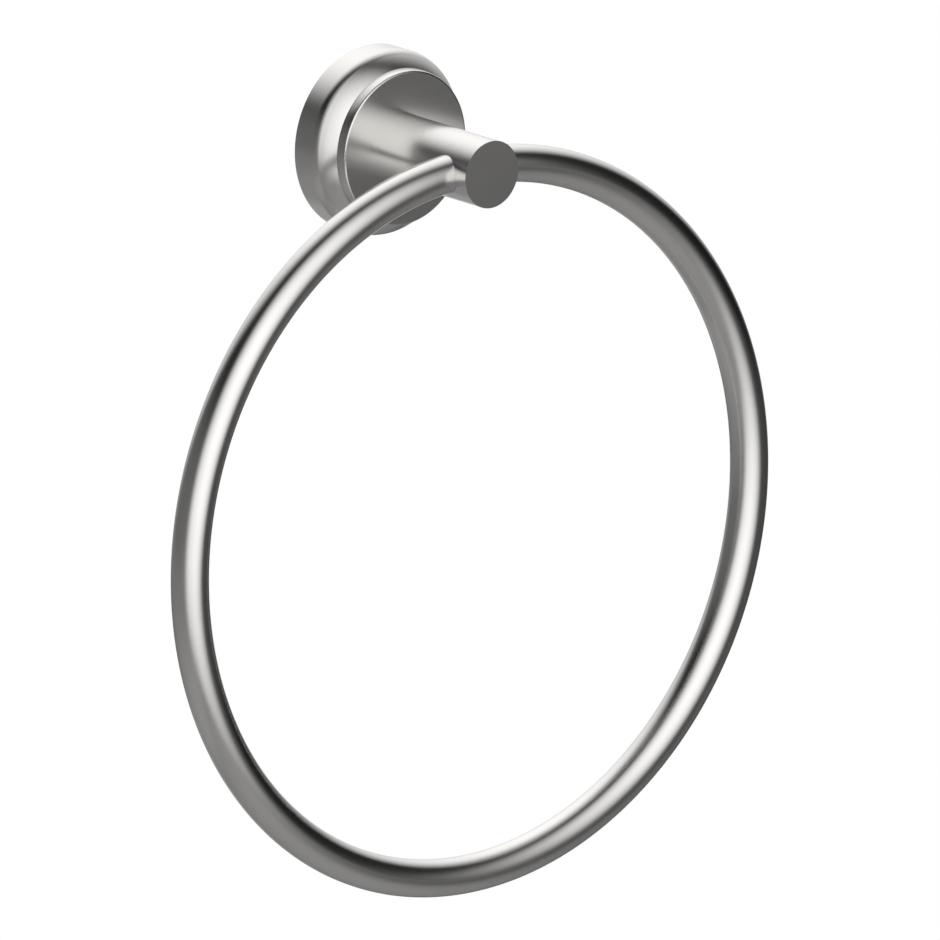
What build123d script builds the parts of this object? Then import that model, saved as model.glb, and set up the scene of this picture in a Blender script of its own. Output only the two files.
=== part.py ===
"""A wall-mounted towel ring: a round bar ring held in a turned post on a round wall rose.

Millimetres. The origin is on the wall, on the axis of the post.
The wall is the XZ plane, the front is towards -Y, and +Z is up.
"""

import math
import os

from build123d import *

# Ring: a round bar bent to a circle, with its two ends inside the post
ring_outer_diameter = 160.0
ring_bar_diameter = 8.0
ring_end_gap = 0.4

# Post: a plain round stem on a flat disc foot, turned in one piece
post_diameter = 14.4
post_length = 40.2
ring_setback = 7.2
foot_base_diameter = 33.2
foot_front_diameter = 32.9
foot_height = 2.4
foot_side_bulge = 0.05
foot_edge_round = 0.4

# Rose: the cup that covers the wall bracket
rose_diameter = 39.7
rim_height = 5.0
shoulder_radius = 3.1
shoulder_turn = 37.5
seat_diameter = 32.7
seat_height = 9.8
rose_wall = 2.2
seat_thickness = 2.0
cavity_bevel = 2.2

# Key: the double-D spigot on the back of the post, and its hole in the rose
key_diameter = 11.0
key_across_flats = 8.0
key_relief = 0.2

# Post screw, its tapped hole and its washer
screw_diameter = 5.0
screw_length = 14.0
screw_head_diameter = 9.5
screw_head_height = 3.0
screw_head_round = 1.2
recess_span = 5.0
recess_slot = 1.2
recess_depth = 1.8
recess_taper = 8.0
tapped_hole_spare = 2.0
drill_point_angle = 118.0
washer_diameter = 15.0
washer_thickness = 1.0
washer_hole_diameter = 5.3

# Wall bracket: a disc with an undercut edge and two upright slots
bracket_thickness = 3.6
bracket_land = 0.6
undercut_depth = 2.4
bracket_bore_diameter = 11.2
slot_spacing = 21.0
slot_width = 4.6
slot_length = 6.4

# Set screw in the underside of the rim, with a cone point of 45 degrees
set_screw_diameter = 3.0
set_screw_height = 2.2
set_screw_sink = 0.1
set_screw_tip_diameter = 0.6
socket_across_flats = 1.5
socket_depth = 1.2

# Fits
ring_clearance = 0.02
assembly_clearance = 0.05
bracket_clearance = 0.2

# Worked out from the sizes above
ring_radius = (ring_outer_diameter - ring_bar_diameter) / 2
ring_plane_distance = post_length - ring_setback
post_radius = post_diameter / 2
foot_front_height = seat_height + foot_height
rose_radius = rose_diameter / 2
cavity_radius = rose_radius - rose_wall
seat_underside = seat_height - seat_thickness
washer_back = seat_underside - washer_thickness
key_back = seat_underside + key_relief
bracket_radius = cavity_radius - bracket_clearance
undercut_front = bracket_thickness - bracket_land
tip_radius = set_screw_tip_diameter / 2
cone_height = set_screw_diameter / 2 - tip_radius
set_screw_tip = (
    bracket_radius
    - undercut_front
    + set_screw_height
    + tip_radius
    + assembly_clearance * math.sqrt(2)
)
set_screw_end = rose_radius - set_screw_sink

# A turned profile is drawn as radius along local x and distance from the wall along local y
turning_plane = Plane(origin=(0, 0, 0), x_dir=(1, 0, 0), z_dir=(0, 0, -1))
post_axis = Axis((0, 0, 0), (0, -1, 0))
ring_axis = Axis((0, -ring_plane_distance, -ring_radius), (0, 1, 0))

# The set screw's profile is drawn as radius along local x and distance below the post's axis along local y
set_screw_plane = Plane(
    origin=(0, -set_screw_height, 0), x_dir=(1, 0, 0), z_dir=(0, 1, 0)
)
set_screw_axis = Axis((0, -set_screw_height, 0), (0, 0, -1))


def plane_at(distance):
    """A plane parallel to the wall and this far in front of it, facing the room, with local y up."""
    return Plane(origin=(0, -distance, 0), x_dir=(1, 0, 0), z_dir=(0, -1, 0))


def bar_section_plane(angle):
    """A plane across the ring's bar through the ring's axis, at an angle from the top towards +X."""
    turn = math.radians(angle)
    return Plane(
        origin=(0, -ring_plane_distance, -ring_radius),
        x_dir=(math.sin(turn), 0, math.cos(turn)),
        z_dir=(math.cos(turn), 0, -math.sin(turn)),
    )


def arc_angle(length):
    """The angle in degrees that a length takes up along the ring's centreline."""
    return math.degrees(length / ring_radius)


# Ring: the bar's section turned about the ring's axis, all but the gap between its ends
with BuildPart() as ring:
    with BuildSketch(bar_section_plane(arc_angle(ring_end_gap / 2))):
        with Locations((ring_radius, 0)):
            Circle(ring_bar_diameter / 2)
    revolve(axis=ring_axis, revolution_arc=360 - arc_angle(ring_end_gap))

# Post: foot and stem in one turned profile, with a crisp corner between them
with BuildPart() as post:
    with BuildSketch(turning_plane):
        with BuildLine():
            foot_side = SagittaArc(
                (foot_base_diameter / 2, seat_height),
                (foot_front_diameter / 2, foot_front_height),
                -foot_side_bulge,
            )
            Polyline(
                foot_side @ 1,
                (post_radius, foot_front_height),
                (post_radius, post_length),
                (0, post_length),
                (0, seat_height),
                foot_side @ 0,
            )
        make_face()
    revolve(axis=post_axis)
    foot_rims = post.edges().filter_by(GeomType.CIRCLE)
    foot_rim = foot_rims.sort_by(lambda rim: abs(rim.radius - foot_front_diameter / 2))[0]
    fillet(foot_rim, foot_edge_round)
    # Keyed spigot on the back
    with BuildSketch(plane_at(key_back)):
        Circle(key_diameter / 2)
        Rectangle(key_diameter, key_across_flats, mode=Mode.INTERSECT)
    extrude(amount=foot_front_height - key_back)
    # Blind tapped hole with its drill point
    with BuildSketch(turning_plane):
        with BuildLine():
            hole_radius = screw_diameter / 2 + assembly_clearance
            hole_depth = washer_back + screw_length + tapped_hole_spare
            point_depth = hole_radius / math.tan(math.radians(drill_point_angle / 2))
            Polyline(
                (0, key_back),
                (hole_radius, key_back),
                (hole_radius, hole_depth),
                (0, hole_depth + point_depth),
                close=True,
            )
        make_face()
    revolve(axis=post_axis, mode=Mode.SUBTRACT)
    # Cross socket that follows the curve of the bar
    with BuildSketch(bar_section_plane(-arc_angle(post_diameter))):
        with Locations((ring_radius, 0)):
            Circle(ring_bar_diameter / 2 + ring_clearance)
    revolve(axis=ring_axis, revolution_arc=2 * arc_angle(post_diameter), mode=Mode.SUBTRACT)

# Rose: a turned cup with a straight rim, a rounded shoulder and a crown that runs in under the foot
with BuildPart() as rose:
    with BuildSketch(turning_plane):
        with BuildLine():
            rim = Line((rose_radius, 0), (rose_radius, rim_height))
            shoulder = JernArc(rim @ 1, (0, 1), shoulder_radius, shoulder_turn)
            crown = TangentArc(
                shoulder @ 1, (seat_diameter / 2, seat_height), tangent=shoulder % 1
            )
            Polyline(
                crown @ 1,
                (0, seat_height),
                (0, seat_underside),
                (cavity_radius - cavity_bevel, seat_underside),
                (cavity_radius, seat_underside - cavity_bevel),
                (cavity_radius, 0),
                rim @ 0,
            )
        make_face()
    revolve(axis=post_axis)
    # Keyed hole for the post's spigot
    with BuildSketch(plane_at(seat_underside)):
        Circle(key_diameter / 2 + assembly_clearance)
        Rectangle(
            2 * key_diameter,
            key_across_flats + 2 * assembly_clearance,
            mode=Mode.INTERSECT,
        )
    extrude(amount=seat_thickness, mode=Mode.SUBTRACT)
    # Tapped hole for the set screw, through the underside of the rim
    with BuildSketch(Plane(origin=(0, -set_screw_height, -rose_radius - rose_wall))):
        Circle(set_screw_diameter / 2 + assembly_clearance)
    extrude(amount=3 * rose_wall, mode=Mode.SUBTRACT)

# Wall bracket: a disc whose edge is undercut at 45 degrees, so that the set screw draws the rose to the wall
with BuildPart() as wall_bracket:
    with BuildSketch(turning_plane):
        with BuildLine():
            Polyline(
                (bracket_bore_diameter / 2, 0),
                (bracket_radius - undercut_depth, 0),
                (bracket_radius - undercut_depth, undercut_front - undercut_depth),
                (bracket_radius, undercut_front),
                (bracket_radius, bracket_thickness),
                (bracket_bore_diameter / 2, bracket_thickness),
                close=True,
            )
        make_face()
    revolve(axis=post_axis)
    with BuildSketch(plane_at(0)):
        with GridLocations(0, slot_spacing, 1, 2):
            SlotOverall(slot_length, slot_width, rotation=90)
    extrude(amount=bracket_thickness, mode=Mode.SUBTRACT)

# Washer under the post screw's head
with BuildPart() as post_washer:
    with BuildSketch(plane_at(washer_back)):
        Circle(washer_diameter / 2)
        Circle(washer_hole_diameter / 2, mode=Mode.SUBTRACT)
    extrude(amount=washer_thickness)

# Post screw: a pan head with a cross recess, and a plain shank
with BuildPart() as post_screw:
    head_back = washer_back - screw_head_height
    with BuildSketch(plane_at(head_back)):
        Circle(screw_head_diameter / 2)
    extrude(amount=screw_head_height)
    fillet(post_screw.edges().group_by(Axis.Y)[-1], screw_head_round)
    with BuildSketch(plane_at(head_back)):
        Rectangle(recess_span, recess_slot)
        Rectangle(recess_slot, recess_span)
    extrude(amount=recess_depth, taper=recess_taper, mode=Mode.SUBTRACT)
    with BuildSketch(plane_at(washer_back)):
        Circle(screw_diameter / 2)
    extrude(amount=screw_length)

# Set screw: a threaded pin with a cone point and a hexagon socket
with BuildPart() as set_screw:
    with BuildSketch(set_screw_plane):
        with BuildLine():
            Polyline(
                (0, set_screw_tip),
                (tip_radius, set_screw_tip),
                (set_screw_diameter / 2, set_screw_tip + cone_height),
                (set_screw_diameter / 2, set_screw_end),
                (0, set_screw_end),
                close=True,
            )
        make_face()
    revolve(axis=set_screw_axis)
    with BuildSketch(Plane(origin=(0, -set_screw_height, -set_screw_end))):
        RegularPolygon(socket_across_flats / 2, 6, major_radius=False)
    extrude(amount=socket_depth, mode=Mode.SUBTRACT)

pieces = {
    "rose": rose,
    "post": post,
    "ring": ring,
    "wall_bracket": wall_bracket,
    "set_screw": set_screw,
    "post_screw": post_screw,
    "post_washer": post_washer,
}
os.makedirs("parts", exist_ok=True)
for name, piece in pieces.items():
    piece.part.label = name
    export_step(piece.part, f"parts/{name}.step")
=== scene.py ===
"""A satin-nickel towel ring on a round rose: its bent bar, screws and finishes, the studio and the camera.

The scene is in metres, in the model's own frame: the origin is on the wall, the front is towards -Y
and +Z is up.
Named sizes are in millimetres and angles in degrees, unless their name or comment says otherwise.
"""

import math

import bpy
import numpy as np
from mathutils import Matrix, Vector


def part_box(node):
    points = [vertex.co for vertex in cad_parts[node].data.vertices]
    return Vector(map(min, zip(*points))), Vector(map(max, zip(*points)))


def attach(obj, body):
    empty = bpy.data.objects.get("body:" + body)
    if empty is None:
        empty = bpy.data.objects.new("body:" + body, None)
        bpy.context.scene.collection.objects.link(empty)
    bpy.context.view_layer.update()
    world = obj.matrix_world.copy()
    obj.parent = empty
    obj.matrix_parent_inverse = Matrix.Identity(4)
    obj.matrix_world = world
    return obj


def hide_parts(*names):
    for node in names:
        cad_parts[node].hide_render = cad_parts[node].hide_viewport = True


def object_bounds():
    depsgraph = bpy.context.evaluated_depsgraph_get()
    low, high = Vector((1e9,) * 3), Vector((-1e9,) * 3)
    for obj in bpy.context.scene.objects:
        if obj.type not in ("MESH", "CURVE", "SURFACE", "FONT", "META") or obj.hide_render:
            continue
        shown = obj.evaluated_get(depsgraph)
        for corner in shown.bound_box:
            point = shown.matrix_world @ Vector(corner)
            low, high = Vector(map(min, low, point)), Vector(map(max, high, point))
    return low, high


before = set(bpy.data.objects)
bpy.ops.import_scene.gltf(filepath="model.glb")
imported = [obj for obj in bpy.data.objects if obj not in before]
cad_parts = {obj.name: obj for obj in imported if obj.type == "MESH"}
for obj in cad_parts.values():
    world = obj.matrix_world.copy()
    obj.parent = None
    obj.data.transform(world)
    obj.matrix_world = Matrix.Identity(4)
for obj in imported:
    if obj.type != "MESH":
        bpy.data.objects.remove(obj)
cad_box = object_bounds()

MM = 0.001

# Picture: its size, its scale, where the model's origin lands in it, and where it is taken from
picture_pixels = 940
pixels_per_mm = 4.8007
origin_pixel = (367.74, 136.77)
view_azimuth = -39.97
view_elevation = 14.81
camera_distance = 500.0

# Ring: the bent bar
bar_diameter = 8.0
bar_end_gap = 0.4
bar_steps_along = 720
bar_steps_round = 72

# Post screw, a coarse 5 mm thread under a pan head with a cross recess
post_screw_diameter = 5.0
post_screw_pitch = 0.8
pan_head_height = 3.0
pan_head_round = 1.2
pan_round_steps = 9
recess_span = 5.0
recess_slot = 1.2
recess_depth = 1.8
recess_taper = 8.0
recess_steps = 20

# Set screw, a coarse 3 mm thread with a hexagon socket and a cone point
set_screw_diameter = 3.0
set_screw_pitch = 0.5
set_screw_tip_diameter = 0.6
socket_across_flats = 1.5
socket_depth = 1.2
socket_steps = 16

# Threads: the shape of a metric thread, as shares of its pitch
thread_depth_share = 0.6134
crest_flat_share = 0.125
root_flat_share = 0.25
thread_steps = 16

# Skins: edges that bend by more than this stay crisp
crisp_edge_angle = 30.0

# Finishes: the noise's fineness, the middle range of its values, and what nickel reflects at glancing angles
noise_detail = 2.0
noise_low = 0.3
noise_high = 0.7
nickel_edge_tint = 0.87

# Studio, in metres: the distances of softboxes and card, the floor's drop, and the sheets' half sizes
softbox_distance_m = 1.0
floor_drop_m = 1.2
floor_half_size_m = 6.5
backdrop_distance_m = 1.3
backdrop_half_size_m = 0.3

# Studio paints: their shades and glows in linear light, where 1 is white
floor_shade = 0.5
floor_glow = 0.055
card_shade = 0.8
card_glow = 1.0
room_glow = 0.005
paint_roughness = 0.9

# Directions of the picture: right, level towards the camera, up the picture and back to the camera
azimuth = math.radians(view_azimuth)
elevation = math.radians(view_elevation)
UP = Vector((0, 0, 1))
RIGHT = Vector((math.cos(azimuth), math.sin(azimuth), 0))
TOWARDS = Vector((math.sin(azimuth), -math.cos(azimuth), 0))
BACK = TOWARDS * math.cos(elevation) + UP * math.sin(elevation)
PICTURE_UP = UP * math.cos(elevation) - TOWARDS * math.sin(elevation)


# Shapes

def skin(name, grid, first_end, last_end):
    """A closed skin over a grid of rows, each row a loop of points in millimetres.

    Rows are joined to the next row by quads, with the last point of a loop joined to its first,
    and each end row is closed by a fan of triangles to its end point.
    """
    rows, around = grid.shape[:2]
    points = np.concatenate([grid.reshape(-1, 3), [first_end, last_end]]) * MM
    row = np.arange(rows - 1)[:, None] * around
    step = np.arange(around)[None, :]
    following = (step + 1) % around
    quads = np.stack([row + step, row + following, row + around + following, row + around + step], axis=-1)
    step, following = step[0], following[0]
    last_row = (rows - 1) * around
    first_pole = np.full(around, rows * around)
    first_fan = np.stack([first_pole, following, step], axis=-1)
    last_fan = np.stack([first_pole + 1, last_row + step, last_row + following], axis=-1)
    faces = quads.reshape(-1, 4).tolist() + first_fan.tolist() + last_fan.tolist()
    mesh = bpy.data.meshes.new(name)
    mesh.from_pydata(points.tolist(), [], faces)
    mesh.polygons.foreach_set("use_smooth", np.ones(len(faces), dtype=bool))
    mesh.set_sharp_from_angle(angle=math.radians(crisp_edge_angle))
    piece = bpy.data.objects.new(name, mesh)
    bpy.context.scene.collection.objects.link(piece)
    return piece


def bent_bar():
    """The ring: the bar's round section carried along a circle in a plane parallel to the wall.

    The section's centre goes round the ring's circle from one sawn end at the top to the other.
    A point is the circle's centre, plus the way out from it times the sum of the circle's radius and
    the bar's radius times the section's cosine, less the way to the wall times the bar's radius times
    the section's sine.
    """
    low, high = (np.array(corner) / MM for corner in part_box("ring"))
    bar_radius = bar_diameter / 2
    circle_radius = (high[0] - low[0]) / 2 - bar_radius
    centre = np.array([0.0, (low[1] + high[1]) / 2, low[2] + bar_radius + circle_radius])
    half_gap = bar_end_gap / 2 / circle_radius
    along = np.linspace(half_gap, 2 * math.pi - half_gap, bar_steps_along)
    around = np.arange(bar_steps_round) * 2 * math.pi / bar_steps_round
    outward = np.stack([np.sin(along), np.zeros_like(along), np.cos(along)], axis=-1)
    path = centre + circle_radius * outward
    to_wall = np.array([0.0, 1.0, 0.0])
    section = np.cos(around)[:, None] * outward[:, None, :] - np.sin(around)[:, None] * to_wall
    grid = path[:, None, :] + bar_radius * section
    return skin("ring_bar", grid, path[0], path[-1])


def cross_outline(span, slot):
    """Two crossing bars as one outline, in the complex plane, anticlockwise from the right arm's end.

    A quarter runs up half of an arm's end, in along its side to the inner corner, out along the next
    arm's side and across half of that arm's end. The other quarters are the same, turned.
    """
    arm, half = span / 2, slot / 2
    place = np.arange(recess_steps) / recess_steps
    corners_at = [0.0, 0.15, 0.5, 0.85, 1.0]
    across = np.interp(place, corners_at, [arm, arm, half, half, 0.0])
    upward = np.interp(place, corners_at, [0.0, half, half, arm, arm])
    quarter = across + 1j * upward
    return np.concatenate([quarter * turn for turn in (1, 1j, -1, -1j)])


def hexagon_outline(across_flats):
    """A hexagon in the complex plane, anticlockwise from its right corner, with straight runs of points."""
    corners = across_flats / math.sqrt(3) * np.exp(1j * math.pi / 3 * np.arange(6))
    place = np.arange(socket_steps) / socket_steps
    sides = corners[:, None] * (1 - place) + np.roll(corners, -1)[:, None] * place
    return sides.ravel()


def thread_rows(diameter, pitch, start, end, angles):
    """Radius and distance of each row of a thread, from its start to its end.

    A point's phase is its distance in pitches, less its angle in turns. The radius is the crest's within
    half a crest flat of the middle of the phase, and falls evenly to the root's over the flank.
    It comes down to the root over the first and last pitch, so that the thread runs out at both ends.
    """
    rows = max(2, round((end - start) / pitch * thread_steps) + 1)
    distance = np.linspace(start, end, rows)[:, None]
    phase = (distance / pitch - angles / (2 * math.pi)) % 1.0
    flank = (1 - crest_flat_share - root_flat_share) / 2
    fall = np.clip((np.abs(phase - 0.5) - crest_flat_share / 2) / flank, 0, 1)
    run_out = np.clip(np.minimum(distance - start, end - distance) / pitch, 0, 1)
    depth = thread_depth_share * pitch
    radius = diameter / 2 - depth + depth * (1 - fall) * run_out
    return radius, np.broadcast_to(distance, radius.shape)


def turned_rows(radii, distances, angles):
    """Round rows of the given radii, as points of the complex plane and their distances along the axis."""
    radii, distances = np.asarray(radii, float)[:, None], np.asarray(distances, float)[:, None]
    return radii * np.exp(1j * angles), np.broadcast_to(distances, (len(distances), len(angles)))


def post_screw():
    """The screw behind the post: cross recess, pan head and thread.

    Rows run from the recess's floor to the tip and lie across the screw's axis. Those of the recess
    follow the cross, which narrows with depth, and the others are round, at the angles of the cross's
    points, with the thread's radius on the shank.
    """
    low, high = (np.array(corner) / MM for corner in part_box("post_screw"))
    head_back, tip = -high[1], -low[1]
    head_radius = (high[0] - low[0]) / 2
    shank_start = head_back + pan_head_height
    narrowing = 2 * recess_depth * math.tan(math.radians(recess_taper))
    mouth = cross_outline(recess_span, recess_slot)
    floor = cross_outline(recess_span - narrowing, recess_slot - narrowing)
    angles = np.unwrap(np.angle(mouth))
    bend = np.linspace(0, math.pi / 2, pan_round_steps)
    head_radii = head_radius - pan_head_round * (1 - np.sin(bend))
    head_distances = head_back + pan_head_round * (1 - np.cos(bend))
    head, head_at = turned_rows([*head_radii, head_radius], [*head_distances, shank_start], angles)
    shank, shank_at = thread_rows(post_screw_diameter, post_screw_pitch, shank_start, tip, angles)
    flat = np.concatenate([[floor], [mouth], head, shank * np.exp(1j * angles)])
    floor_at = np.full((1, len(angles)), head_back + recess_depth)
    mouth_at = np.full((1, len(angles)), head_back)
    distance = np.concatenate([floor_at, mouth_at, head_at, shank_at])
    grid = np.stack([flat.real, -distance, flat.imag], axis=-1)
    return skin("post_screw_threaded", grid, (0, -head_back - recess_depth, 0), (0, -tip, 0))


def set_screw():
    """The grub screw under the rim: hexagon socket, thread and cone point.

    Rows run from the socket's floor to the tip and lie across the screw's axis, which is upright. Those
    of the socket follow the hexagon, and the others are round, at the angles of the hexagon's points,
    with the thread's radius on the body.
    Distances run down and angles anticlockwise from above, so the thread takes the angles reversed.
    """
    low, high = (np.array(corner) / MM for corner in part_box("set_screw"))
    end, tip = -low[2], -high[2]
    axis_y = (low[1] + high[1]) / 2
    radius, tip_radius = set_screw_diameter / 2, set_screw_tip_diameter / 2
    cone_start = tip + radius - tip_radius
    socket = hexagon_outline(socket_across_flats)
    angles = np.unwrap(np.angle(socket))
    body, body_at = thread_rows(set_screw_diameter, set_screw_pitch, cone_start, end, -angles)
    cone, cone_at = turned_rows([tip_radius], [tip], angles)
    flat = np.concatenate([[socket], [socket], body[::-1] * np.exp(1j * angles), cone])
    floor_at = np.full((1, len(angles)), end - socket_depth)
    mouth_at = np.full((1, len(angles)), end)
    distance = np.concatenate([floor_at, mouth_at, body_at[::-1], cone_at])
    grid = np.stack([flat.real, axis_y + flat.imag, -distance], axis=-1)
    return skin("set_screw_threaded", grid, (0, axis_y, socket_depth - end), (0, axis_y, -tip))


# Finishes

class Finish:
    """A metal finish under construction: its node tree, its shader and short ways to add nodes."""

    def __init__(self, name):
        self.material = bpy.data.materials.new(name)
        self.material.use_nodes = True
        self.tree = self.material.node_tree
        self.shader = self.tree.nodes["Principled BSDF"]
        self.shader.inputs["Metallic"].default_value = 1.0
        self.place = self.node("ShaderNodeTexCoord").outputs["Object"]

    def node(self, kind, **settings):
        """A new node of this kind, with these settings."""
        made = self.tree.nodes.new(kind)
        for setting, value in settings.items():
            setattr(made, setting, value)
        return made

    def join(self, source, target):
        """A link from one node's output to another's input."""
        self.tree.links.new(source, target)

    def grain(self, size, detail=noise_detail):
        """Noise that is alike in every direction, with lumps of about this size."""
        noise = self.node("ShaderNodeTexNoise")
        noise.inputs["Scale"].default_value = 1 / (size * MM)
        noise.inputs["Detail"].default_value = detail
        self.join(self.place, noise.inputs["Vector"])
        return noise.outputs["Fac"]

    def brushing(self, centre, width, length):
        """Fine lines of this width and length that run round an axis along Y through a centre.

        The noise is read at the distance from the axis, the distance from the wall, and the two other
        coordinates squeezed by width over length, so it changes slowly along a line and fast across it.
        """
        moved = self.node("ShaderNodeMapping")
        moved.inputs["Location"].default_value = -centre
        self.join(self.place, moved.inputs["Vector"])
        parts = self.node("ShaderNodeSeparateXYZ")
        self.join(moved.outputs["Vector"], parts.inputs["Vector"])
        level = self.node("ShaderNodeCombineXYZ")
        self.join(parts.outputs["X"], level.inputs["X"])
        self.join(parts.outputs["Z"], level.inputs["Z"])
        from_axis = self.node("ShaderNodeVectorMath", operation="LENGTH")
        self.join(level.outputs["Vector"], from_axis.inputs[0])
        squeezed = self.node("ShaderNodeVectorMath", operation="SCALE")
        squeezed.inputs["Scale"].default_value = width / length
        self.join(level.outputs["Vector"], squeezed.inputs[0])
        slow = self.node("ShaderNodeSeparateXYZ")
        self.join(squeezed.outputs["Vector"], slow.inputs["Vector"])
        lookup = self.node("ShaderNodeCombineXYZ")
        self.join(from_axis.outputs["Value"], lookup.inputs["X"])
        self.join(parts.outputs["Y"], lookup.inputs["Y"])
        self.join(slow.outputs["X"], lookup.inputs["Z"])
        noise = self.node("ShaderNodeTexNoise", noise_dimensions="4D")
        noise.inputs["Scale"].default_value = 1 / (width * MM)
        noise.inputs["Detail"].default_value = noise_detail
        self.join(lookup.outputs["Vector"], noise.inputs["Vector"])
        self.join(slow.outputs["Z"], noise.inputs["W"])
        return noise.outputs["Fac"]

    def blend(self, first, second, share):
        """Two patterns mixed, with this share of the second."""
        mix = self.node("ShaderNodeMix", data_type="FLOAT")
        # The node's sockets share their names, so they go by number: the share, then the two values
        mix.inputs[0].default_value = share
        self.join(first, mix.inputs[2])
        self.join(second, mix.inputs[3])
        return mix.outputs[0]

    def spread(self, pattern, low, high):
        """A pattern's middle range stretched to run from low to high."""
        ranged = self.node("ShaderNodeMapRange")
        ranged.inputs["From Min"].default_value = noise_low
        ranged.inputs["From Max"].default_value = noise_high
        ranged.inputs["To Min"].default_value = low
        ranged.inputs["To Max"].default_value = high
        self.join(pattern, ranged.inputs["Value"])
        return ranged.outputs["Result"]

    def colour(self, pattern, dark, light):
        """Base colour from dark to light along a pattern."""
        mix = self.node("ShaderNodeMix", data_type="RGBA")
        # Here the two colours are numbers 6 and 7, the share is 0 and the mixed colour comes out of 2
        mix.inputs[6].default_value = (*dark, 1)
        mix.inputs[7].default_value = (*light, 1)
        self.join(self.spread(pattern, low=0.0, high=1.0), mix.inputs[0])
        self.join(mix.outputs[2], self.shader.inputs["Base Color"])

    def roughness(self, pattern, low, high):
        """Roughness from low to high along a pattern."""
        self.join(self.spread(pattern, low, high), self.shader.inputs["Roughness"])

    def relief(self, pattern, height):
        """Fine relief of this height in millimetres, as bump."""
        bump = self.node("ShaderNodeBump")
        bump.inputs["Strength"].default_value = 1.0
        bump.inputs["Distance"].default_value = height * MM
        self.join(pattern, bump.inputs["Height"])
        self.join(bump.outputs["Normal"], self.shader.inputs["Normal"])


def satin_nickel(name, centre):
    """Satin nickel plate: a soft even sheen, brushed so finely round its axis that the lines barely show.

    It reflects a little less at glancing angles than a plain mirror, as nickel does.
    """
    finish = Finish(name)
    edge_colour = (nickel_edge_tint, nickel_edge_tint, nickel_edge_tint, 1)
    finish.shader.inputs["Specular Tint"].default_value = edge_colour
    clouds = finish.grain(size=14.0)
    lines = finish.brushing(centre, width=0.12, length=5.0)
    speckle = finish.grain(size=0.25)
    texture = finish.blend(lines, speckle, share=0.4)
    finish.colour(clouds, dark=(0.755, 0.745, 0.727), light=(0.785, 0.775, 0.757))
    finish.roughness(finish.blend(clouds, texture, share=0.6), low=0.23, high=0.24)
    finish.relief(texture, height=0.00008)
    return finish.material


def zinc_plate():
    """Bright zinc plate on stamped steel: bluish, with a faint straw-coloured bloom and a rolled grain."""
    finish = Finish("zinc_plate_bright")
    bloom = finish.grain(size=5.0, detail=4.0)
    grain = finish.grain(size=0.35, detail=3.0)
    finish.colour(bloom, dark=(0.60, 0.64, 0.69), light=(0.70, 0.69, 0.64))
    finish.roughness(finish.blend(bloom, grain, share=0.5), low=0.26, high=0.42)
    finish.relief(grain, height=0.003)
    return finish.material


def screw_steel():
    """Plain stainless steel, cut by a die: darker, with a coarse dull grain."""
    finish = Finish("screw_steel_dull")
    grain = finish.grain(size=0.2, detail=3.0)
    finish.colour(grain, dark=(0.38, 0.37, 0.36), light=(0.52, 0.51, 0.50))
    finish.roughness(grain, low=0.32, high=0.48)
    finish.relief(grain, height=0.002)
    return finish.material


# Studio

def heading(bearing, height):
    """The direction from the object at a bearing to the camera's right and a height above the horizon."""
    turn, rise = math.radians(bearing), math.radians(height)
    level = TOWARDS * math.cos(turn) + RIGHT * math.sin(turn)
    return level * math.cos(rise) + UP * math.sin(rise)


def facing(back, right):
    """The turn of a lamp or camera whose back points along one direction and whose right along another."""
    return Matrix((right, back.cross(right), back)).transposed().to_quaternion()


def arithmetic(tree, operation, *values):
    """A step of arithmetic in a node tree, on other nodes' outputs and plain numbers."""
    step = tree.nodes.new("ShaderNodeMath")
    step.operation = operation
    for value, socket in zip(values, step.inputs):
        if isinstance(value, bpy.types.NodeSocket):
            tree.links.new(value, socket)
        else:
            socket.default_value = value
    return step.outputs["Value"]


def feather(lamp, cores):
    """Makes a lamp fade smoothly from its core to its edges, across and up.

    A core is the share of a side that stays fully bright. Places on a lamp run from 0 to 1 along each side.
    """
    lamp.use_nodes = True
    tree = lamp.node_tree
    place = tree.nodes.new("ShaderNodeNewGeometry")
    sides = tree.nodes.new("ShaderNodeSeparateXYZ")
    tree.links.new(place.outputs["Parametric"], sides.inputs["Vector"])
    fades = []
    for side, core in zip(sides.outputs, cores):
        from_middle = arithmetic(tree, "ABSOLUTE", arithmetic(tree, "SUBTRACT", side, 0.5))
        fade = tree.nodes.new("ShaderNodeMapRange")
        fade.interpolation_type = "SMOOTHSTEP"
        fade.inputs["From Min"].default_value = core / 2
        fade.inputs["From Max"].default_value = 0.5
        fade.inputs["To Min"].default_value = 1.0
        fade.inputs["To Max"].default_value = 0.0
        tree.links.new(from_middle, fade.inputs["Value"])
        fades.append(fade.outputs["Result"])
    strength = arithmetic(tree, "MULTIPLY", *fades)
    tree.links.new(strength, tree.nodes["Emission"].inputs["Strength"])


def softbox(name, bearing, height, half_width, half_height, cores, brightness):
    """A large soft panel lamp that faces the object.

    Half width and height are in shares of its distance. Brightness is what its middle shows, where 1
    is white, and the lamp's power is that times pi and its area.
    """
    middle = sum(cad_box, Vector()) / 2
    lamp = bpy.data.lights.new(name, "AREA")
    lamp.shape = "RECTANGLE"
    lamp.size = 2 * half_width * softbox_distance_m
    lamp.size_y = 2 * half_height * softbox_distance_m
    lamp.energy = brightness * math.pi * lamp.size * lamp.size_y
    feather(lamp, cores)
    panel = bpy.data.objects.new(name, lamp)
    back = heading(bearing, height)
    panel.location = middle + back * softbox_distance_m
    panel.rotation_mode = "QUATERNION"
    panel.rotation_quaternion = facing(back, UP.cross(back).normalized())
    panel.visible_camera = True
    bpy.context.scene.collection.objects.link(panel)


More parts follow.
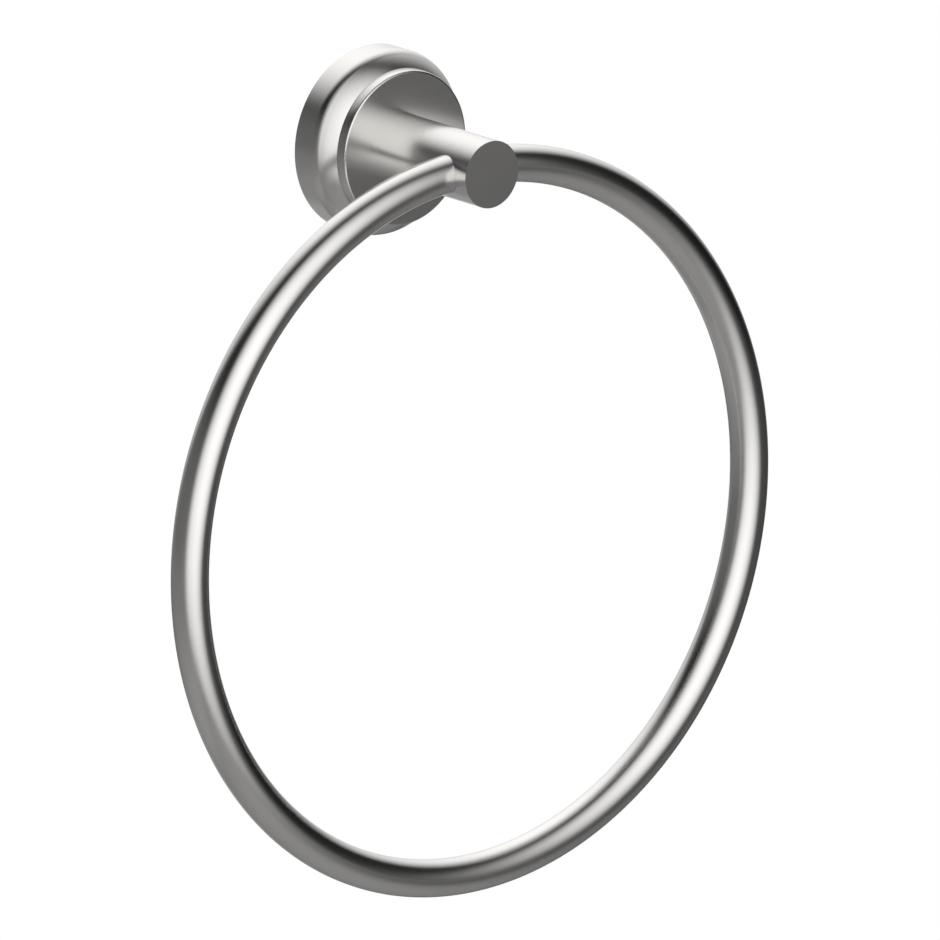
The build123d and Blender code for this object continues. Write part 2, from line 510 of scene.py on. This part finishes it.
def sheet(name, centre, across, upward, material):
    """A flat square of the stage, from its centre and its half sides."""
    corners = [centre + across * a + upward * b for a, b in ((-1, -1), (1, -1), (1, 1), (-1, 1))]
    mesh = bpy.data.meshes.new(name)
    mesh.from_pydata([tuple(corner) for corner in corners], [], [(0, 1, 2, 3)])
    mesh.materials.append(material)
    square = bpy.data.objects.new(name, mesh)
    bpy.context.scene.collection.objects.link(square)


def matt_paint(name, shade):
    """A plain matt paint of one grey shade, for the stage."""
    material = bpy.data.materials.new(name)
    material.use_nodes = True
    shader = material.node_tree.nodes["Principled BSDF"]
    shader.inputs["Base Color"].default_value = (shade, shade, shade, 1)
    shader.inputs["Roughness"].default_value = paint_roughness
    shader.inputs["Specular IOR Level"].default_value = 0.0
    return material


def seen_rays(tree):
    """1 for the camera's rays and for those that metal reflects or glass lets through, and 0 for others."""
    rays = tree.nodes.new("ShaderNodeLightPath")
    seen = rays.outputs["Is Camera Ray"]
    for kind in ("Is Glossy Ray", "Is Transmission Ray"):
        seen = arithmetic(tree, "MAXIMUM", seen, rays.outputs[kind])
    return seen


def white_card():
    """Matt white paint that is plain white to the rays that are seen."""
    material = matt_paint("white_card", card_shade)
    tree = material.node_tree
    glow = tree.nodes.new("ShaderNodeEmission")
    glow.inputs["Strength"].default_value = card_glow
    mix = tree.nodes.new("ShaderNodeMixShader")
    tree.links.new(seen_rays(tree), mix.inputs["Fac"])
    tree.links.new(tree.nodes["Principled BSDF"].outputs["BSDF"], mix.inputs[1])
    tree.links.new(glow.outputs["Emission"], mix.inputs[2])
    tree.links.new(mix.outputs["Shader"], tree.nodes["Material Output"].inputs["Surface"])
    return material


def pale_floor():
    """Pale matt paint with a faint glow for the rays that are seen, so that its far end isn't black."""
    material = matt_paint("pale_floor", floor_shade)
    tree = material.node_tree
    glow = tree.nodes.new("ShaderNodeEmission")
    tree.links.new(arithmetic(tree, "MULTIPLY", seen_rays(tree), floor_glow), glow.inputs["Strength"])
    both = tree.nodes.new("ShaderNodeAddShader")
    tree.links.new(tree.nodes["Principled BSDF"].outputs["BSDF"], both.inputs[0])
    tree.links.new(glow.outputs["Emission"], both.inputs[1])
    tree.links.new(both.outputs["Shader"], tree.nodes["Material Output"].inputs["Surface"])
    return material


def picture_centre():
    """The point in the plane of the origin that lands in the middle of the picture."""
    across = (picture_pixels / 2 - origin_pixel[0]) / pixels_per_mm * MM
    downward = (picture_pixels / 2 - origin_pixel[1]) / pixels_per_mm * MM
    return RIGHT * across - PICTURE_UP * downward


def studio():
    """Two large softboxes, before and behind, two weak fills, a pale floor, a white card and a dim room."""
    softbox(
        "front_softbox", bearing=22.0, height=16.0, half_width=2.0, half_height=1.95,
        cores=(0.0, 0.05), brightness=1.35,
    )
    softbox(
        "back_softbox", bearing=187.0, height=37.0, half_width=1.65, half_height=1.65,
        cores=(0.0, 0.1), brightness=1.32,
    )
    softbox(
        "left_fill", bearing=-73.0, height=-16.0, half_width=2.8, half_height=1.5,
        cores=(0.8, 0.2), brightness=0.147,
    )
    softbox(
        "low_fill", bearing=205.0, height=-34.0, half_width=0.4, half_height=0.32,
        cores=(0.45, 0.1), brightness=0.25,
    )
    sheet(
        "floor", UP * -floor_drop_m,
        RIGHT * floor_half_size_m, TOWARDS * floor_half_size_m, pale_floor(),
    )
    sheet(
        "backdrop", picture_centre() - BACK * backdrop_distance_m,
        RIGHT * backdrop_half_size_m, PICTURE_UP * backdrop_half_size_m, white_card(),
    )
    scene = bpy.context.scene
    scene.world = bpy.data.worlds.new("dim_room")
    scene.world.use_nodes = True
    room = scene.world.node_tree.nodes["Background"]
    room.inputs["Color"].default_value = (1, 1, 1, 1)
    room.inputs["Strength"].default_value = room_glow
    scene.view_settings.view_transform = "Standard"


def camera():
    """A camera without perspective, at the photograph's angle, with the photograph's framing."""
    lens = bpy.data.cameras.new("camera")
    lens.type = "ORTHO"
    lens.ortho_scale = picture_pixels / pixels_per_mm * MM
    eye = bpy.data.objects.new("camera", lens)
    eye.location = picture_centre() + BACK * camera_distance * MM
    eye.rotation_mode = "QUATERNION"
    eye.rotation_quaternion = facing(BACK, RIGHT)
    bpy.context.scene.collection.objects.link(eye)
    bpy.context.scene.camera = eye


# The object: new skins over three nodes, and finishes on the rest
ring_low, ring_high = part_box("ring")
ring_centre = (ring_low + ring_high) / 2
turned_nickel = satin_nickel("satin_nickel_turned", Vector())
bar_nickel = satin_nickel("satin_nickel_bar", ring_centre)
zinc = zinc_plate()
steel = screw_steel()

for node, finish in {
    "rose": turned_nickel,
    "post": turned_nickel,
    "wall_bracket": zinc,
    "post_washer": zinc,
}.items():
    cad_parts[node].material_slots[0].material = finish

for piece, node, finish, slot in (
    (bent_bar(), "ring", bar_nickel, "satin_nickel"),
    (post_screw(), "post_screw", zinc, "zinc_plate"),
    (set_screw(), "set_screw", steel, "screw_steel"),
):
    piece.data.materials.append(finish)
    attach(piece, "root")
    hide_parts(node)

studio()
camera()
